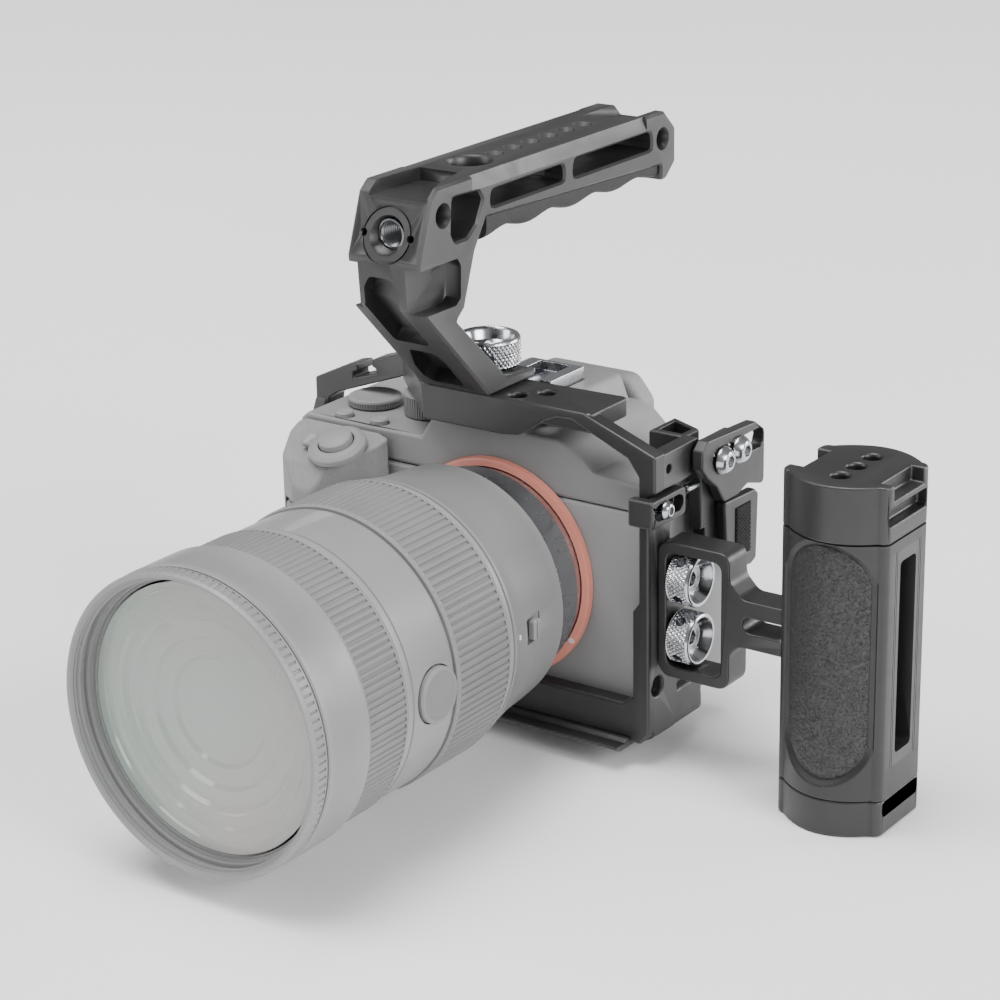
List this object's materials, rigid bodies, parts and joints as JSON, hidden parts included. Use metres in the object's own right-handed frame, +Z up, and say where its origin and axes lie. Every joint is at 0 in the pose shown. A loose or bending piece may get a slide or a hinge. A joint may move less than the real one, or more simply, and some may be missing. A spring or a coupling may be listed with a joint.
{
  "type": "cinema camera rig",
  "caption": "Mirrorless camera with a zoom lens held in a metal cage, with a top handle, an adjustable side handle and a cable clamp for handheld film work.",
  "frame": {"origin": "on the underside of the quick release plate, below the lens axis, in the plane of the lens flange", "axes": "+X to the side handle, +Y to the back of the camera, +Z up; the lens looks along -Y"},
  "size_m": [0.2187, 0.2368, 0.1736],
  "materials": {
    "black_anodised": "black hard-anodised aluminium, satin, with lighter machined chamfers",
    "silver_steel": "turned stainless steel, semi-polished, with knurled rims",
    "grip_pad": "matt black rubber with a fine wrinkled or stippled surface",
    "camera_shell": "faded grey fine-textured paint on a magnesium shell",
    "camera_rubber": "faded grey grained rubber covering",
    "lens_barrel": "faded grey satin paint",
    "lens_rubber": "faded grey ribbed rubber",
    "lens_glass": "coated optical glass, pale green-grey",
    "mount_orange": "faded salmon-orange satin trim",
    "sensor_surface": "dark glossy filter glass over the image sensor"
  },
  "bodies": {
    "rig": {"cage_frame": "black_anodised", "quick_release_plate": "black_anodised", "hook_screw": "silver_steel", "clamp_block": "black_anodised", "clamp_set_screw": "silver_steel", "clamp_screw_front": "silver_steel", "clamp_screw_rear": "silver_steel", "side_bracket": "black_anodised", "top_handle_frame": "black_anodised", "front_thread_insert": "silver_steel", "top_handle_grip": "grip_pad", "camera_body": "camera_shell", "top_cover": "camera_shell", "camera_grip": "camera_rubber", "eyecup": "camera_rubber", "viewfinder_window": "lens_glass", "hot_shoe": "silver_steel", "image_sensor": "sensor_surface", "camera_mount_ring": "silver_steel", "mount_trim_ring": "mount_orange", "lens_mount_flange": "silver_steel", "base_barrel": "lens_barrel", "core_tube": "lens_barrel", "mid_barrel": "lens_barrel", "rear_element": "lens_glass", "rear_baffle": "lens_barrel"},
    "camera_screw": {"camera_screw": "silver_steel"},
    "side_hook": {"side_hook": "black_anodised"},
    "cable_clamp": {"clamp_plate": "black_anodised", "clamp_jaw": "black_anodised", "clamp_jaw_pad": "grip_pad"},
    "thumbscrew_lower": {"thumbscrew_lower": "silver_steel"},
    "thumbscrew_upper": {"thumbscrew_upper": "silver_steel"},
    "side_handle": {"side_handle_body": "black_anodised", "side_handle_front_pad": "grip_pad", "side_handle_back_pad": "grip_pad", "side_handle_top_cap": "black_anodised", "side_handle_bottom_cap": "black_anodised"},
    "locking_knob": {"locking_knob": "silver_steel"},
    "zoom_ring": {"zoom_ring": "lens_rubber"},
    "front_group": {"front_barrel": "lens_barrel", "filter_ring": "lens_barrel", "front_element": "lens_glass", "front_element_cell": "lens_barrel"},
    "focus_ring": {"focus_ring": "lens_rubber"},
    "focus_hold_button": {"focus_hold_button": "lens_rubber"},
    "focus_mode_switch": {"focus_mode_switch": "lens_barrel"},
    "shutter_button": {"shutter_button": "camera_shell"},
    "power_lever": {"power_lever": "camera_shell"},
    "front_dial": {"front_dial": "camera_rubber"},
    "custom_button_1": {"custom_button_1": "camera_shell"},
    "custom_button_2": {"custom_button_2": "camera_shell"},
    "exposure_dial": {"exposure_dial": "camera_rubber"},
    "mode_dial": {"mode_dial": "camera_rubber"},
    "mode_dial_lock": {"mode_dial_lock": "camera_shell"},
    "lens_release_button": {"lens_release_button": "camera_shell"},
    "rear_monitor": {"rear_monitor": "camera_shell"},
    "rear_wheel": {"rear_wheel": "camera_rubber"},
    "select_button": {"select_button": "camera_shell"},
    "port_door": {"port_door": "camera_rubber"}
  },
  "joints": [
    {"name": "camera_screw_turn", "type": "hinge", "parent": "rig", "child": "camera_screw", "pos_m": [0, 0.022, 0], "axis": [0, 0, 1], "continuous": true},
    {"name": "hook_slide", "type": "slide", "parent": "rig", "child": "side_hook", "axis": [0, -1, 0], "range_m": [0, 0.004]},
    {"name": "clamp_slide", "type": "slide", "parent": "rig", "child": "cable_clamp", "axis": [0, 1, 0], "range_m": [-0.006, 0.0015]},
    {"name": "thumbscrew_lower_turn", "type": "hinge", "parent": "rig", "child": "thumbscrew_lower", "pos_m": [0.066, 0.0097, 0.0349], "axis": [1, 0, 0], "continuous": true},
    {"name": "thumbscrew_upper_turn", "type": "hinge", "parent": "rig", "child": "thumbscrew_upper", "pos_m": [0.066, 0.0097, 0.0531], "axis": [1, 0, 0], "continuous": true},
    {"name": "side_handle_slide", "type": "slide", "parent": "rig", "child": "side_handle", "axis": [1, 0, 0], "range_m": [-0.004, 0.006]},
    {"name": "locking_knob_turn", "type": "hinge", "parent": "rig", "child": "locking_knob", "pos_m": [-0.0097, 0.0166, 0.1009], "axis": [0, 0, 1], "continuous": true},
    {"name": "zoom_turn", "type": "hinge", "parent": "rig", "child": "zoom_ring", "pos_m": [0, -0.06, 0.045], "axis": [0, 1, 0], "range_deg": [0, 75]},
    {"name": "front_group_slide", "type": "slide", "parent": "rig", "child": "front_group", "axis": [0, -1, 0], "range_m": [0, 0.029]},
    {"name": "focus_turn", "type": "hinge", "parent": "rig", "child": "focus_ring", "pos_m": [0, -0.104, 0.045], "axis": [0, 1, 0], "continuous": true},
    {"name": "focus_hold_press", "type": "slide", "parent": "rig", "child": "focus_hold_button", "axis": [-1, 0, 0], "range_m": [0, 0.0007], "stiffness_N_per_m": 300},
    {"name": "focus_mode_slide", "type": "slide", "parent": "rig", "child": "focus_mode_switch", "axis": [0, 1, 0], "range_m": [-0.002, 0.002]},
    {"name": "shutter_press", "type": "slide", "parent": "rig", "child": "shutter_button", "axis": [0, 0.3584, -0.9336], "range_m": [0, 0.0006], "stiffness_N_per_m": 400},
    {"name": "power_turn", "type": "hinge", "parent": "rig", "child": "power_lever", "pos_m": [-0.0506, -0.0056, 0.0757], "axis": [0, -0.3584, 0.9336], "range_deg": [0, 50]},
    {"name": "front_dial_turn", "type": "hinge", "parent": "rig", "child": "front_dial", "pos_m": [-0.057, -0.0076, 0.055], "axis": [0, 0, 1], "continuous": true},
    {"name": "custom_button_1_press", "type": "slide", "parent": "rig", "child": "custom_button_1", "axis": [0, 0, -1], "range_m": [0, 0.0005], "stiffness_N_per_m": 300},
    {"name": "custom_button_2_press", "type": "slide", "parent": "rig", "child": "custom_button_2", "axis": [0, 0, -1], "range_m": [0, 0.0005], "stiffness_N_per_m": 300},
    {"name": "exposure_dial_turn", "type": "hinge", "parent": "rig", "child": "exposure_dial", "pos_m": [-0.059, 0.024, 0.081], "axis": [0, 0, 1], "range_deg": [-90, 90]},
    {"name": "mode_dial_turn", "type": "hinge", "parent": "rig", "child": "mode_dial", "pos_m": [-0.038, 0.026, 0.081], "axis": [0, 0, 1], "continuous": true},
    {"name": "mode_dial_lock_press", "type": "slide", "parent": "mode_dial", "child": "mode_dial_lock", "axis": [0, 0, -1], "range_m": [0, 0.0005], "stiffness_N_per_m": 300},
    {"name": "lens_release_press", "type": "slide", "parent": "rig", "child": "lens_release_button", "axis": [0, 1, 0], "range_m": [0, 0.0015], "stiffness_N_per_m": 400},
    {"name": "monitor_tilt", "type": "hinge", "parent": "rig", "child": "rear_monitor", "pos_m": [0, 0.056, 0.067], "axis": [1, 0, 0], "range_deg": [0, 85]},
    {"name": "rear_wheel_turn", "type": "hinge", "parent": "rig", "child": "rear_wheel", "pos_m": [-0.056, 0.054, 0.032], "axis": [0, 1, 0], "continuous": true},
    {"name": "select_press", "type": "slide", "parent": "rig", "child": "select_button", "axis": [0, -1, 0], "range_m": [0, 0.0005], "stiffness_N_per_m": 300},
    {"name": "port_door_swing", "type": "hinge", "parent": "rig", "child": "port_door", "pos_m": [0.0534, 0.041, 0.032], "axis": [0, 0, 1], "range_deg": [0, 45]}
  ],
  "couplings": [
    {"joint": "zoom_turn", "follows": "front_group_slide", "rad_per_m": 45}
  ]
}
